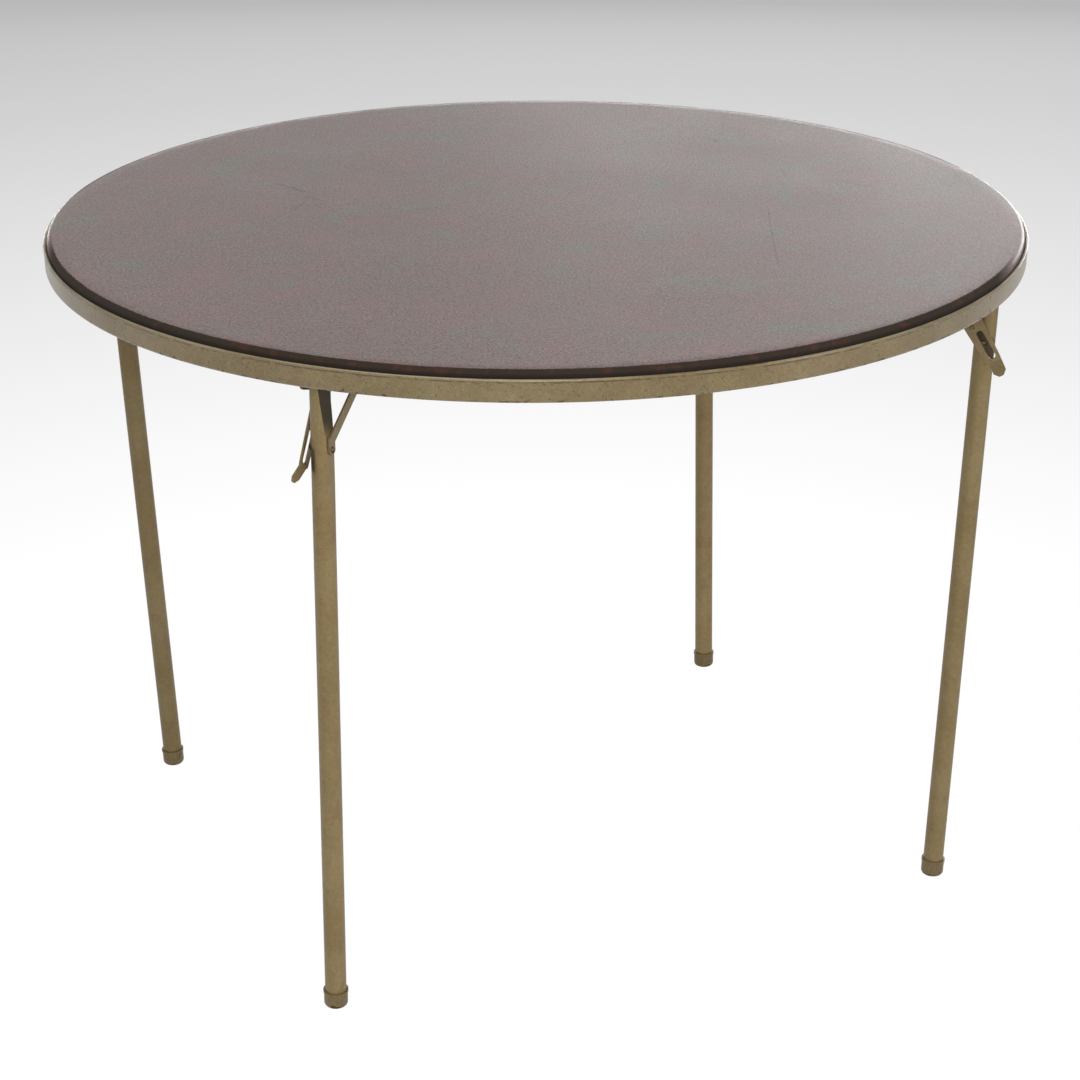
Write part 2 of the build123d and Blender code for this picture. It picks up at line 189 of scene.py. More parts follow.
camera_data = bpy.data.cameras.new("camera")
camera_data.sensor_width = 36.0
camera_data.lens = camera_data.sensor_width * focal_pixels / photo_pixels
camera_data.clip_end = 60.0
camera = bpy.data.objects.new("camera", camera_data)
bpy.context.scene.collection.objects.link(camera)
pitch, yaw, roll = radians(camera_pitch), radians(camera_yaw), radians(camera_roll)
ahead = np.array([sin(yaw) * cos(pitch), cos(yaw) * cos(pitch), -sin(pitch)])
level_right = np.cross(ahead, [0, 0, 1])
level_right /= np.linalg.norm(level_right)
level_up = np.cross(level_right, ahead)
turned = np.eye(4)
turned[:3, 0] = cos(roll) * level_right + sin(roll) * level_up
turned[:3, 1] = cos(roll) * level_up - sin(roll) * level_right
turned[:3, 2] = -ahead
turned[:3, 3] = camera_place
camera.matrix_world = Matrix(turned.tolist())
bpy.context.scene.camera = camera
bpy.context.scene.view_settings.view_transform = "Standard"


# The cover: one sheet of fine-grained vinyl drawn over the padded top, down its edge and turned under.
# Its shape is a closed profile spun round the table's axis, with the slight waves of a felt pad beneath.
# It is mottled pink and green and scuffed by use. Its edge is darkened brown, darker still lower down as
# painted shade in the gap above the rim. The band stops short of the two ends, left light as painted light.
def level_run(radii, z):
    """A level run of profile points in the (radius, z) plane."""
    return np.column_stack([radii, np.full(len(radii), z)])


def bend(middle_radius, middle_z, bend_radius, start, end, steps=6):
    """Points of a round bend in the (radius, z) plane, from one angle in degrees to another."""
    angles = np.radians(np.linspace(start, end, steps + 1))
    radii = middle_radius + bend_radius * np.cos(angles)
    return np.column_stack([radii, middle_z + bend_radius * np.sin(angles)])


def spun_mesh(name, profile, spokes, raised=None):
    """Carries a clockwise (radius, z) profile round the Z axis: point (i, j) is radius i at angle j.

    A profile point on the axis becomes one pole vertex. A profile with no pole is joined end to start.
    raised, where given, adds its value at (x, y, i) to each point's height."""
    turns = np.linspace(0, 2 * pi, spokes, endpoint=False)
    x = profile[:, :1] * np.cos(turns)
    y = profile[:, :1] * np.sin(turns)
    z = np.repeat(profile[:, 1:], spokes, axis=1)
    if raised is not None:
        z = z + raised(x, y, np.arange(len(profile))[:, None])
    pole = profile[:, 0] == 0
    size = np.where(pole, 1, spokes)
    start = np.concatenate([[0], np.cumsum(size)[:-1]])
    index = start[:, None] + np.where(pole[:, None], 0, np.arange(spokes))
    used = np.concatenate([np.arange(spokes) < count for count in size])
    points = np.column_stack([x.ravel(), y.ravel(), z.ravel()])[used]
    if not pole.any():
        index = np.vstack([index, index[:1]])
        pole = np.append(pole, False)
    after = np.roll(index, -1, axis=1)
    faces = []
    for i in range(len(index) - 1):
        if pole[i]:
            ring = (index[i], index[i + 1], after[i + 1])
        elif pole[i + 1]:
            ring = (index[i], index[i + 1], after[i])
        else:
            ring = (index[i], index[i + 1], after[i + 1], after[i])
        faces += np.column_stack(ring).tolist()
    mesh = bpy.data.meshes.new(name)
    mesh.from_pydata(points.tolist(), [], faces)
    mesh.polygons.foreach_set("use_smooth", np.ones(len(mesh.polygons), bool))
    piece = bpy.data.objects.new(name, mesh)
    bpy.context.scene.collection.objects.link(piece)
    return piece


cover_low, cover_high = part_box("vinyl_cover")
panel_radius = cover_high.x
top_z = cover_high.z
under_z = cover_low.z
vinyl_gauge = 0.0008
edge_round = 0.005
under_round = 0.0007
under_round_steps = 3
turn_under = 0.012
cover_spokes = 384
cover_rings = 44
wave_height = 0.00018
# How fast each wave in the felt runs along x and along y, in radians to the metre, and where it starts
felt_wave_rates = ((19, 7, 0.0), (-23, 11, 1.3), (9, 31, 2.1))

flat_radii = np.linspace(0, 1, cover_rings)[:-1] * (panel_radius - edge_round)
outer_run = np.vstack([
    level_run(flat_radii, top_z),
    bend(panel_radius - edge_round, top_z - edge_round, edge_round, 90, 0),
    bend(panel_radius - under_round, under_z + under_round, under_round, 0, -90, under_round_steps),
    [[panel_radius - turn_under, under_z]],
])
inner_run = np.vstack([
    [[panel_radius - turn_under, under_z + vinyl_gauge]],
    [[panel_radius - vinyl_gauge, under_z + vinyl_gauge]],
    bend(panel_radius - edge_round, top_z - edge_round, edge_round - vinyl_gauge, 0, 90),
    level_run(flat_radii[::-1], top_z - vinyl_gauge),
])
cover_profile = np.vstack([outer_run, inner_run])


def felt_waves(x, y, row):
    """Lowers the flat by up to two wave heights: the height times the mean of three sine waves, less one.

    The waves die out towards the edge with the sixth power of the radius. Only the flat runs have them."""
    waves = sum(np.sin(along_x * x + along_y * y + start) for along_x, along_y, start in felt_wave_rates)
    reach = np.clip(np.hypot(x, y) / (panel_radius - edge_round), 0, 1)
    flat = (row < len(flat_radii)) | (row >= len(cover_profile) - len(flat_radii))
    return wave_height * (waves / len(felt_wave_rates) - 1) * (1 - reach ** 6) * flat


vinyl_sheet = spun_mesh("vinyl_sheet", cover_profile, cover_spokes, felt_waves)
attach(vinyl_sheet, "root")
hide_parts("vinyl_cover")

# Marks of use on the vinyl: (start x, start y, end x, end y, half width, darkness), in metres on the top
vinyl_marks = (
    (-0.279, 0.124, -0.249, 0.093, 0.0060, 0.26),
    (-0.262, 0.110, -0.248, 0.091, 0.0026, 0.38),
    (-0.249, 0.077, -0.221, 0.050, 0.0030, 0.24),
    (-0.255, 0.020, -0.244, 0.047, 0.0034, 0.26),
    (-0.125, 0.021, -0.105, 0.026, 0.0032, 0.30),
    (-0.105, 0.032, -0.030, 0.062, 0.0030, 0.14),
    (0.244, 0.022, 0.240, -0.075, 0.0012, 0.38),
    (0.240, -0.075, 0.237, -0.185, 0.0014, 0.42),
    (0.325, 0.130, 0.358, 0.097, 0.0026, 0.36),
    (0.272, 0.178, 0.274, 0.140, 0.0024, 0.20),
    (0.264, -0.152, 0.270, -0.152, 0.0020, 0.42),
    (0.462, -0.129, 0.468, -0.143, 0.0024, 0.36),
    (0.466, -0.150, 0.476, -0.168, 0.0022, 0.32),
    (0.377, -0.255, 0.381, -0.262, 0.0026, 0.30),
    (0.204, 0.308, 0.208, 0.299, 0.0040, 0.28),
    (0.148, -0.392, 0.158, -0.395, 0.0018, 0.26),
)
mark_core_share = 0.2
vinyl_colour = paint(124, 103, 98)
vinyl_pink = paint(131, 102, 99)
vinyl_green = paint(117, 110, 101)
edge_brown = paint(45, 34, 22)
edge_red = paint(68, 40, 28)
gap_shade_dark = paint(22, 15, 8)
# Noise on the vinyl: lumps to the metre, detail, roughness and twist
pink_lumps = (17, 5, 0.6)
green_lumps = (14, 5, 0.6, 0.4)
cloud_lumps = (13, 5, 0.62, 0.5)
mottle_lumps = (120, 3, 0.6)
speck_lumps = (430, 3, 0.8)
ragged_lumps = (240, 4, 0.7)
edge_red_lumps = (60, 4, 0.6)
pebbles_per_metre = 620
# The noise value at which a colour starts to show, and the one at which it is full
pink_onset = (0.46, 0.62)
green_onset = (0.53, 0.66)
edge_red_onset = (0.52, 0.66)
# How strongly each noise lightens and darkens the vinyl
cloud_strength = 0.36
mottle_strength = 0.5
speck_strength = 4.6
# Roughness of the bare vinyl, and what clouds and the dark edge band add to it, then the grain's depth and
# its two parts
vinyl_roughness = 0.32
cloud_roughness = 0.12
dark_band_roughness = 0.60
grain_depth = 0.0004
pebble_relief = 0.6
speck_relief = 0.8
# How far inside the panel's radius the dark edge band starts and is full, and how far its border wavers
dark_band_from = 0.0062
dark_band_by = 0.0042
ragged_depth = 0.004
# Where the band stops short of each end, left light as painted light: the x at which it is gone and the x at
# which it is full, at the right and the left end
lit_end_right = (0.478, 0.440)
lit_end_left = (-0.499, -0.480)
# How far below the top the painted shade of the gap above the rim starts and is darkest
gap_shade_from = 0.0022
gap_shade_by = 0.0055
gap_shade_share = 0.8


def fade(tree, value, start, end):
    """Rises smoothly from 0 where the value is start to 1 where it is end."""
    inputs = {"Value": value, "From Min": start, "From Max": end}
    return node(tree, "MapRange", inputs, interpolation_type="SMOOTHSTEP").outputs[0]


def blend_colours(tree, share, first, second):
    """The first colour, with this share of the second laid over it."""
    return node(tree, "Mix", {0: share, 6: first, 7: second}, data_type="RGBA").outputs[2]


noise_middle = 0.5


def noise(tree, place, scale, detail=2.0, roughness=0.5, distortion=0.0):
    """Cloudy noise about its middle value, with this many lumps to the metre."""
    inputs = {"Vector": place, "Scale": scale, "Detail": detail, "Roughness": roughness}
    return node(tree, "TexNoise", {**inputs, "Distortion": distortion}).outputs[0]


def patches(tree, place, body, lumps, onset, tint, share=1.0):
    """The body's colour, with this share of a tint laid over it wherever the noise rises past its onset."""
    cover = fade(tree, noise(tree, place, *lumps), *onset)
    return blend_colours(tree, calc(tree, "MULTIPLY", cover, share), body, tint)


def add_up(tree, base, *terms):
    """The base plus each term, which is a value and its weight."""
    total = base
    for value, weight in terms:
        total = calc(tree, "ADD", total, calc(tree, "MULTIPLY", value, weight))
    return total


def unevenness(tree, *layers):
    """One, plus how far each layer of noise lies from its middle value, times the layer's strength."""
    total = 1.0
    for layer, strength in layers:
        total = add_up(tree, total, (calc(tree, "SUBTRACT", layer, noise_middle), strength))
    return total


def scaled(tree, vector, share):
    """A vector or colour times a number."""
    return node(tree, "VectorMath", {0: vector, "Scale": share}, operation="SCALE").outputs["Vector"]


def coordinate(tree, place, axis):
    """One coordinate of a place."""
    return node(tree, "SeparateXYZ", {0: place}).outputs[axis]


def mark_shade(tree, place, mark):
    """The darkness of one scuff: full along the line between its two ends, fading out over its half width."""
    start_x, start_y, end_x, end_y, half_width, darkness = mark
    run = np.array([end_x - start_x, end_y - start_y])
    run_squared = float(run @ run)
    offset = vector_calc(tree, "SUBTRACT", place, (start_x, start_y, top_z))
    along = vector_calc(tree, "DOT_PRODUCT", offset, (run[0] / run_squared, run[1] / run_squared, 0))
    held = node(tree, "Clamp", {"Value": along}).outputs[0]
    gap = vector_calc(tree, "DISTANCE", offset, scaled(tree, (run[0], run[1], 0), held))
    return calc(tree, "MULTIPLY", fade(tree, gap, half_width, half_width * mark_core_share), darkness)


vinyl, tree, place = new_material("mottled_vinyl")
colour = patches(tree, place, vinyl_colour, pink_lumps, pink_onset, vinyl_pink)
colour = patches(tree, place, colour, green_lumps, green_onset, vinyl_green)
cloud = noise(tree, place, *cloud_lumps)
mottle = noise(tree, place, *mottle_lumps)
speck = noise(tree, place, *speck_lumps)
level = unevenness(tree, (cloud, cloud_strength), (mottle, mottle_strength), (speck, speck_strength))
for mark in vinyl_marks:
    level = calc(tree, "SUBTRACT", level, mark_shade(tree, place, mark))
colour = scaled(tree, colour, level)

# The dark band along the edge, partly painted shade. It stops short of the two ends, which are left light as
# painted light.
flat_place = vector_calc(tree, "MULTIPLY", place, (1.0, 1.0, 0.0))
out = vector_calc(tree, "LENGTH", flat_place)
ragged = calc(tree, "SUBTRACT", noise(tree, place, *ragged_lumps), noise_middle)
dark_band_reach = add_up(tree, out, (ragged, ragged_depth))
dark_edge_band = fade(tree, dark_band_reach, panel_radius - dark_band_from, panel_radius - dark_band_by)
across = coordinate(tree, place, "X")
for lit_end in (lit_end_right, lit_end_left):
    dark_edge_band = calc(tree, "MULTIPLY", dark_edge_band, fade(tree, across, *lit_end))
dark_band_colour = patches(tree, place, edge_brown, edge_red_lumps, edge_red_onset, edge_red)
# Painted shade: the band darkens further down the edge, towards the gap above the rim.
gap_shade = fade(tree, coordinate(tree, place, "Z"), top_z - gap_shade_from, top_z - gap_shade_by)
dark_band_colour = blend_colours(tree, calc(tree, "MULTIPLY", gap_shade, gap_shade_share), dark_band_colour, gap_shade_dark)
colour = blend_colours(tree, dark_edge_band, colour, dark_band_colour)

pebbles = node(tree, "TexVoronoi", {"Vector": place, "Scale": pebbles_per_metre}, feature="SMOOTH_F1")
grain = add_up(tree, 0.0, (pebbles.outputs[0], pebble_relief), (speck, speck_relief))
bump = node(tree, "Bump", {"Strength": 0.25, "Distance": grain_depth, "Height": grain}).outputs[0]
rough = add_up(tree, vinyl_roughness, (cloud, cloud_roughness), (dark_edge_band, dark_band_roughness))
shader = node(tree, "BsdfPrincipled", {"Base Color": colour, "Roughness": rough, "Normal": bump,
                                       "Specular IOR Level": 0.5})
finish_material(tree, shader.outputs[0])
vinyl_sheet.data.materials.append(vinyl)


# The felt pad between vinyl and board: a disc of grey needled felt on the board, held down by the cover.
# The tight cover rounds its upper edge, and its middle dips by a little more than the cover's waves sink.
pad_low, pad_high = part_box("top_padding")
pad_radius = pad_high.x
pad_round = edge_round - vinyl_gauge
pad_spokes = 192
pad_dipped_points = 2
pad_sink = 2.2 * wave_height
pad_profile = np.vstack([
    level_run([0, pad_radius / 2], pad_high.z),
    bend(pad_radius - pad_round, pad_high.z - pad_round, pad_round, 90, 0),
    level_run([pad_radius, pad_radius / 2, 0], pad_low.z),
])


def pad_settling(x, y, row):
    """Lowers the pad's upper side by one depth out to half its radius, from where it rises to the edge."""
    return np.where(row < pad_dipped_points, -pad_sink, 0.0)


felt_pad = spun_mesh("felt_pad", pad_profile, pad_spokes, pad_settling)
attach(felt_pad, "root")
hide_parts("top_padding")

felt_shadow = paint(118, 112, 102)
felt_grey = paint(160, 152, 140)
fibre_lumps = (700, 5, 0.75, 1.2)
fibre_onset = (0.35, 0.68)
felt_depth = 0.0006
felt, tree, place = new_material("grey_felt")
fibres = noise(tree, place, *fibre_lumps)
colour = blend_colours(tree, fade(tree, fibres, *fibre_onset), felt_shadow, felt_grey)
bump = node(tree, "Bump", {"Strength": 0.6, "Distance": felt_depth, "Height": fibres}).outputs[0]
shader = node(tree, "BsdfPrincipled", {"Base Color": colour, "Roughness": 0.95, "Normal": bump})
finish_material(tree, shader.outputs[0])
felt_pad.data.materials.append(felt)


# The board: a disc of pressed brown hardboard under the pad, held by screws through the rim's ledge.
# It keeps the frame's own solid. Its fibres show, with the mesh print of the press on the underside.
board_brown = paint(100, 70, 45)
board_tan = paint(128, 93, 62)
board_shade = paint(90, 62, 41)
board_fibre_lumps = (260, 6, 0.7, 0.8)
board_fibre_onset = (0.3, 0.7)
board_cloud_lumps = (7, 3, 0.5)
board_cloud_onset = (0.45, 0.7)
press_mesh_scale = 110.0
press_mesh_depth = 0.0005


def dress(name, material):
    """Gives a carried-over solid its finish in every material slot."""
    for slot in frame["nodes"][name].material_slots:
        slot.material = material


hardboard, tree, place = new_material("brown_hardboard")
fibres = noise(tree, place, *board_fibre_lumps)
colour = blend_colours(tree, fade(tree, fibres, *board_fibre_onset), board_brown, board_tan)
colour = patches(tree, place, colour, board_cloud_lumps, board_cloud_onset, board_shade)
wires = {"Vector": place, "Scale": press_mesh_scale}
weft = node(tree, "TexWave", wires, bands_direction="X").outputs[1]
warp = node(tree, "TexWave", wires, bands_direction="Y").outputs[1]
relief = calc(tree, "ADD", calc(tree, "MULTIPLY", weft, warp), fibres)
bump = node(tree, "Bump", {"Strength": 0.5, "Distance": press_mesh_depth, "Height": relief}).outputs[0]
shader = node(tree, "BsdfPrincipled", {"Base Color": colour, "Roughness": 0.72, "Normal": bump})
finish_material(tree, shader.outputs[0])
dress("top_board", hardboard)


# The rim: one strip of sheet steel rolled to a bead along the top, a tall face and a turned-in foot.
# A ledge on its inside carries the board. It is the same closed profile as the frame's, spun finely.
# It wears the same olive-gold enamel as the legs and their fittings, chipped and rusted where it is rubbed.
rim_low, rim_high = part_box("rim_ring")
bead_radius = rim_high.x
lip_z = rim_high.z
foot_z = rim_low.z
rim_gauge = 0.0012
bead_height = 0.0022
bead_depth = 0.0009
ledge_width = 0.024
wall_clearance = 0.0004
lower_return = 0.009
hem_height = 0.003
rim_spokes = 540
# The radius of each bend of the strip, from the ledge round to the foot's hem
rim_bends = (0.0012, 0.00115, 0.0009, 0.0008, 0.0008, 0.0022, 0.0012)


def rounded_line(corners, radii, steps=5):
    """Points along a line of corners, each turned by an arc of its own radius that touches both runs."""
    corners = np.array(corners, float)
    points = [corners[:1]]
    for before, corner, after, radius in zip(corners[:-2], corners[1:-1], corners[2:], radii):
        back, on = before - corner, after - corner
        back, on = back / np.linalg.norm(back), on / np.linalg.norm(on)
        half = np.arccos(np.clip(back @ on, -1, 1)) / 2
        middle = corner + (back + on) / np.linalg.norm(back + on) * radius / np.sin(half)
        first = corner + back * radius / np.tan(half) - middle
        last = corner + on * radius / np.tan(half) - middle
        share = np.linspace(0, 1, steps + 1)[:, None]
        arc = first * (1 - share) + last * share
        points.append(middle + radius * arc / np.linalg.norm(arc, axis=1, keepdims=True))
    return np.vstack([*points, corners[-1:]])


def strip_profile(line, gauge):
    """Both sides of a strip: the line moved half the gauge each way along its normals, and its two ends."""
    ahead = np.vstack([line[1:] - line[:-1], line[-1:] - line[-2:-1]])
    behind = np.vstack([ahead[:1], ahead[:-1]])
    ahead, behind = (way / np.linalg.norm(way, axis=1, keepdims=True) for way in (ahead, behind))
    normal = np.column_stack([-(ahead + behind)[:, 1], (ahead + behind)[:, 0]])
    normal *= gauge / (normal * np.column_stack([-ahead[:, 1], ahead[:, 0]])).sum(1, keepdims=True) / 2
    return np.vstack([line + normal, (line - normal)[::-1]])


ledge_radius = panel_radius - ledge_width
ledge_line = under_z - rim_gauge / 2
wall_line = panel_radius + wall_clearance + rim_gauge / 2
lip_line = lip_z - rim_gauge / 2
bead_line = bead_radius - rim_gauge / 2
face_line = bead_line - bead_depth
foot_line = foot_z + rim_gauge / 2
return_line = face_line - lower_return
rim_corners = [
    (ledge_radius, ledge_line),
    (wall_line, ledge_line),
    (wall_line, lip_line),
    (bead_line, lip_line),
    (bead_line, lip_z - bead_height),
    (face_line, lip_z - bead_height - bead_depth),
    (face_line, foot_line),
    (return_line, foot_line),
    (return_line, foot_line + hem_height),
]
rim_profile = strip_profile(rounded_line(rim_corners, rim_bends), rim_gauge)
rolled_rim = spun_mesh("rolled_rim", rim_profile, rim_spokes)
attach(rolled_rim, "root")
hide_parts("rim_ring")

# Noise in the enamel: lumps to the metre, detail, roughness and twist
drift_lumps = (14, 3, 0.55)
fine_lumps = (190, 4, 0.65)
grit_lumps = (520, 3, 0.8)
dust_lumps = (380, 2, 0.5)
wear_lumps = (75, 6, 0.72, 0.4)
streak_lumps = (28, 5, 0.7)
rust_lumps = (500, 3, 0.6)
# The noise value at which each layer starts to show, and the one at which it is full
drift_onset = (0.35, 0.7)
dust_onset = (0.62, 0.69)
streak_onset = (0.44, 0.54)
rust_onset = (0.35, 0.65)
highlight_onset = (0.38, 0.56)
# Stains in the enamel: the noise, where it starts and is full, the stain's colour and its share
enamel_stains = (
    ((34, 4, 0.6, 0.5), (0.54, 0.72), paint(126, 94, 68), 0.5),
    ((47, 4, 0.65, 0.8), (0.52, 0.70), paint(118, 112, 72), 0.45),
)
fine_strength = 0.5
grit_strength = 1.3
dust_share = 0.6
dust_colour = paint(66, 54, 32)
rust_dark = paint(48, 36, 24)
rust_light = paint(98, 68, 40)
# The dark brown of the painted shade and grime on the legs, and its lighter mottle
shade_and_grime_dark = paint(30, 23, 13)
shade_and_grime_light = paint(58, 46, 30)
# The pale of the painted highlight along the rim's bead
painted_highlight_pale = paint(168, 156, 124)
chip_border = 0.025
rust_at_share = 0.14
dark_line_share = 0.8
dark_line_core_share = 0.4
highlight_share = 0.7
metal_share = 0.2
enamel_roughness = 0.36
fine_roughness = 0.18
chip_roughness = 0.3
fine_relief = 0.35
chip_depth = 0.0003


def gold_enamel(name, colour, pale, chips, rust_at=None, dark_crease_lines=(), gloss=0.0, highlight_above=None,
                shade_and_grime=None, speckled=1.0):
    """The enamel's colour drifts between two tones, and noise past a threshold chips it down to rust.

    rust_at gives heights (none, most) between which more chips show. The dark lines are heights with a broken
    dark line along each, each (height, half width). gloss is the weight of a clear coat. The highlight
    heights (none, most) bound a pale painted highlight. The shade-and-grime function gives the share of
    painted shade and grime.
    speckled scales the fine specks."""
    material, tree, place = new_material(name)
    height = coordinate(tree, place, "Z")
    drift = noise(tree, place, *drift_lumps)
    fine = noise(tree, place, *fine_lumps)
    grit = noise(tree, place, *grit_lumps)
    body = blend_colours(tree, fade(tree, drift, *drift_onset), colour, pale)
    body = scaled(tree, body, unevenness(tree, (fine, fine_strength), (grit, grit_strength * speckled)))
    for lumps, onset, tint, share in enamel_stains:
        body = patches(tree, place, body, lumps, onset, tint, share)
    body = patches(tree, place, body, dust_lumps, dust_onset, dust_colour, dust_share * speckled)
    wear = noise(tree, place, *wear_lumps)
    if rust_at is not None:
        wear = add_up(tree, wear, (fade(tree, height, *rust_at), rust_at_share))
    chip = fade(tree, wear, chips, chips + chip_border)
    # A broken dark line along each given height
    for line_height, half_width in dark_crease_lines:
        off = calc(tree, "ABSOLUTE", calc(tree, "SUBTRACT", height, line_height))
        near = fade(tree, off, half_width, half_width * dark_line_core_share)
        streak = fade(tree, noise(tree, place, *streak_lumps), *streak_onset)
        dark_line = calc(tree, "MULTIPLY", calc(tree, "MULTIPLY", near, streak), dark_line_share)
        chip = calc(tree, "MAXIMUM", chip, dark_line)
    rust = patches(tree, place, rust_dark, rust_lumps, rust_onset, rust_light)
    body = blend_colours(tree, chip, body, rust)
    # A pale painted highlight laid along the crest between the given heights
    if highlight_above is not None:
        highlight = calc(tree, "MULTIPLY", fade(tree, height, *highlight_above), fade(tree, drift, *highlight_onset))
        body = blend_colours(tree, calc(tree, "MULTIPLY", highlight, highlight_share), body, painted_highlight_pale)
    # Painted shade and grime, where the given function lays it
    if shade_and_grime is not None:
        shade_and_grime_share = shade_and_grime(tree, place)
        body = blend_colours(tree, shade_and_grime_share, body, blend_colours(tree, fine, shade_and_grime_dark, shade_and_grime_light))
        chip = calc(tree, "MAXIMUM", chip, shade_and_grime_share)
    metal = add_up(tree, metal_share, (chip, -metal_share))
    rough = add_up(tree, enamel_roughness, (fine, fine_roughness), (chip, chip_roughness))
    relief = add_up(tree, 0.0, (fine, fine_relief), (chip, -1.0))
    bump = node(tree, "Bump", {"Strength": 0.35, "Distance": chip_depth, "Height": relief}).outputs[0]
    shader = node(tree, "BsdfPrincipled", {"Base Color": body, "Metallic": metal, "Roughness": rough,
                                           "Normal": bump, "Specular IOR Level": 0.35, "Coat Weight": gloss,
                                           "Coat Roughness": 0.25})
    finish_material(tree, shader.outputs[0])
    return material


rim_gold = paint(121, 103, 67)
rim_pale = paint(133, 116, 80)
rim_rust_reach = 0.006
# A broken dark line along the crease under the bead: its depth below the lip and its half width
rim_dark_line_depth = 0.0030
rim_dark_line_half_width = 0.0011
# How far below the lip the pale painted highlight on the bead's crest is full and where it ends
rim_highlight_from = 0.0009
rim_highlight_by = 0.0003
rim_enamel = gold_enamel("rim_enamel", rim_gold, rim_pale, chips=0.66, gloss=0.7,
                         rust_at=(foot_z + rim_rust_reach, foot_z),
                         dark_crease_lines=((lip_z - rim_dark_line_depth, rim_dark_line_half_width),),
                         highlight_above=(lip_z - rim_highlight_from, lip_z - rim_highlight_by))
rolled_rim.data.materials.append(rim_enamel)


# The screws: zinc-plated steel, driven from below through the rim's ledge and the brackets into the board.
# The plate has gone dull, with brown tarnish in its lumps.
zinc = paint(150, 142, 124)
zinc_tarnished = paint(104, 90, 66)
tarnish_lumps = (230, 4, 0.6)
tarnish_onset = (0.4, 0.7)
plated, tree, place = new_material("dulled_plate")
tarnish = noise(tree, place, *tarnish_lumps)
colour = blend_colours(tree, fade(tree, tarnish, *tarnish_onset), zinc, zinc_tarnished)
rough = add_up(tree, 0.3, (tarnish, 0.3))
shader = node(tree, "BsdfPrincipled", {"Base Color": colour, "Metallic": 0.85, "Roughness": rough})
finish_material(tree, shader.outputs[0])
for name in ("rim_screws", "bracket_screws"):
    dress(name, plated)


# The four leg brackets: channels pressed from sheet steel, screwed under the board at its edge.
# They keep the frame's own solids, in the same enamel as the rim, painted darker as painted shade under the
# top.
legs = (1, 2, 3, 4)
bracket_shaded_gold = paint(98, 82, 52)
bracket_shaded_pale = paint(112, 96, 66)
bracket_shaded_enamel = gold_enamel("bracket_shaded_enamel", bracket_shaded_gold, bracket_shaded_pale, chips=0.66)
for leg in legs:
    dress(f"leg_bracket_{leg}", bracket_shaded_enamel)


# The pins, bushes and rivets that the legs, braces and levers turn on: plain turned steel, the pins headed.
# They keep the frame's own solids, dark with old grease and dirt.
pin_bare = paint(116, 102, 74)
pin_dirty = paint(60, 48, 32)
pin_grease_lumps = (330, 4, 0.65)
pin_grease_onset = (0.40, 0.62)
pin_steel, tree, place = new_material("dirty_pin_steel")
grease = fade(tree, noise(tree, place, *pin_grease_lumps), *pin_grease_onset)
colour = blend_colours(tree, grease, pin_bare, pin_dirty)
rough = add_up(tree, 0.38, (grease, 0.35))
shader = node(tree, "BsdfPrincipled", {"Base Color": colour, "Metallic": 0.6, "Roughness": rough})
finish_material(tree, shader.outputs[0])
for name in ("hinge_pins", "hinge_bushes", "lever_pins"):
    dress(name, pin_steel)
for leg in legs:
    dress(f"brace_rivet_{leg}", pin_steel)
    dress(f"brace_pin_{leg}", pin_steel)


# The four legs: round steel tube with a dish pressed in beside the hinge, which keep the frame's own solids.
# Each leg's enamel is scaled lighter or darker by its light level, as painted light and shade. Painted shade
# darkens the dish, and painted shadow and grime darken the leg behind the release lever's slot.
leg_gold = (134, 114, 75)
leg_pale = (145, 127, 89)
# How much lighter or darker each leg's enamel is painted: lit and shaded copies of one enamel, as painted
# light
leg_light_levels = (1.0, 0.97, 1.06, 0.92)
# Places on a leg are measured from its hinge pin, outward, down and along the pin. Where a pair says how far
# painted shade and grime reach, they are absent at the first place and full at the second.
leg_skew = 0.0314
# Where the painted shade in the dish ends, where its edge lies and slants, and how strong it is
dish_end = (0.064, 0.050)
dish_edge = (0.0009, 0.0012)
dish_edge_slant = 0.115
dish_shade_share = 0.94
# The lever's pivot and slot, which the painted shadow and grime behind it follow
lever_pivot = (-0.0145, 0.0544)
lever_run = (0.521, 0.853)
slot_middle = 0.004
slot_shade_width = (0.0085, 0.0050)
slot_shade_start = (-0.002, 0.004)
slot_shade_end = (0.050, 0.042)
near_side = (-0.001, -0.004)
slot_shade_and_grime_share = 0.85


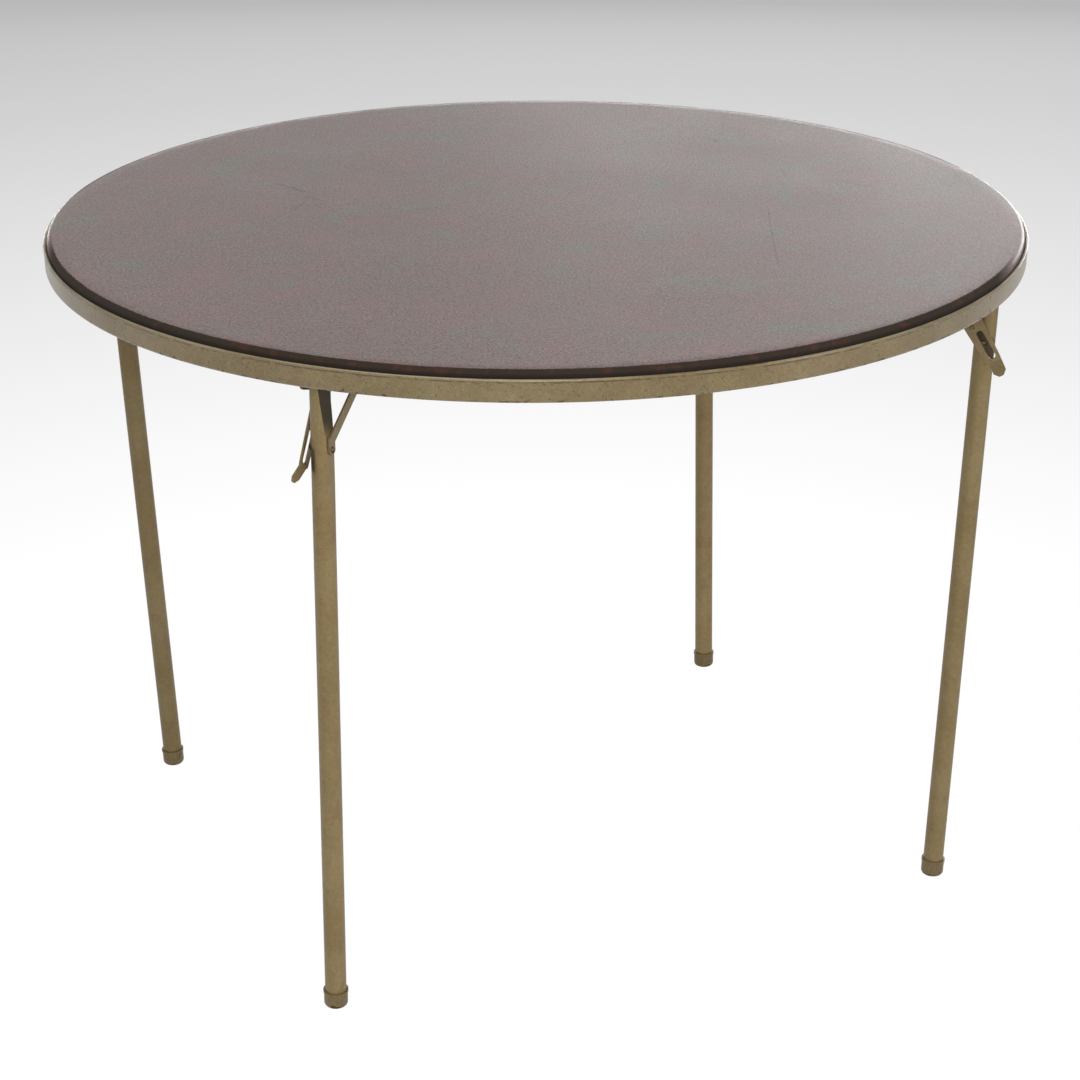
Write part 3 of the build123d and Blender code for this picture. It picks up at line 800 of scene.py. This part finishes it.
def leg_shade_and_grime(hinge):
    """Painted shade in the dish on the pin's far side of one leg, and painted shadow and grime behind its
    lever's slot.

    A point's drop is how far it lies below the pin, its side how far along the pin from the leg's middle, and
    its reach how far outward. The dish is shaded past an edge that slants outward as the drop grows. Behind
    the lever, the painted shadow and grime follow a line through the lever's pivot along its slot."""
    outward = (hinge["axis"][1], -hinge["axis"][0], 0)

    def share(tree, place):
        offset = vector_calc(tree, "SUBTRACT", place, hinge["pos_m"])
        drop = calc(tree, "MULTIPLY", coordinate(tree, offset, "Z"), -1.0)
        along = vector_calc(tree, "DOT_PRODUCT", offset, hinge["axis"])
        reach = vector_calc(tree, "DOT_PRODUCT", offset, outward)
        side = add_up(tree, along, (drop, leg_skew))
        past = add_up(tree, side, (drop, -dish_edge_slant))
        dish = calc(tree, "MULTIPLY", fade(tree, past, *dish_edge), fade(tree, drop, *dish_end))
        out_from_pivot = calc(tree, "SUBTRACT", reach, lever_pivot[0])
        down_from_pivot = calc(tree, "SUBTRACT", drop, lever_pivot[1])
        down = add_up(tree, 0.0, (out_from_pivot, lever_run[0]), (down_from_pivot, lever_run[1]))
        across = add_up(tree, -slot_middle, (out_from_pivot, lever_run[1]), (down_from_pivot, -lever_run[0]))
        behind = fade(tree, calc(tree, "ABSOLUTE", across), *slot_shade_width)
        behind = calc(tree, "MULTIPLY", behind, fade(tree, down, *slot_shade_start))
        behind = calc(tree, "MULTIPLY", behind, fade(tree, down, *slot_shade_end))
        behind = calc(tree, "MULTIPLY", behind, fade(tree, side, *near_side))
        dish = calc(tree, "MULTIPLY", dish, dish_shade_share)
        return calc(tree, "MAXIMUM", dish, calc(tree, "MULTIPLY", behind, slot_shade_and_grime_share))
    return share


hinges = {joint["name"]: joint for joint in frame["record"]["behaviour"]["joints"]}
for leg, tone in zip(legs, leg_light_levels):
    leg_enamel = gold_enamel(f"leg_enamel_{leg}", paint(*np.multiply(leg_gold, tone)),
                             paint(*np.multiply(leg_pale, tone)), chips=0.71, speckled=0.45,
                             shade_and_grime=leg_shade_and_grime(hinges[f"leg_fold_{leg}"]))
    dress(f"leg_tube_{leg}", leg_enamel)


# The four foot caps: pressed steel cups driven on to the ends of the legs.
# They keep the frame's own solids, and their enamel has rusted near the floor.
cap_gold = paint(112, 96, 64)
cap_pale = paint(124, 108, 76)
cap_rust_heights = (0.006, 0.001)
cap_enamel = gold_enamel("cap_enamel", cap_gold, cap_pale, chips=0.64, rust_at=cap_rust_heights)
for leg in legs:
    dress(f"foot_cap_{leg}", cap_enamel)


# The four braces, flat bars that prop the legs, and the four slotted release levers across the legs' sides.
# Both are stamped from steel strip, keep the frame's own solids and share one coat of enamel.
brace_gold = paint(124, 106, 72)
brace_pale = paint(136, 119, 86)
brace_enamel = gold_enamel("brace_enamel", brace_gold, brace_pale, chips=0.70, speckled=0.6)
for leg in legs:
    dress(f"brace_bar_{leg}", brace_enamel)
    dress(f"release_lever_{leg}", brace_enamel)
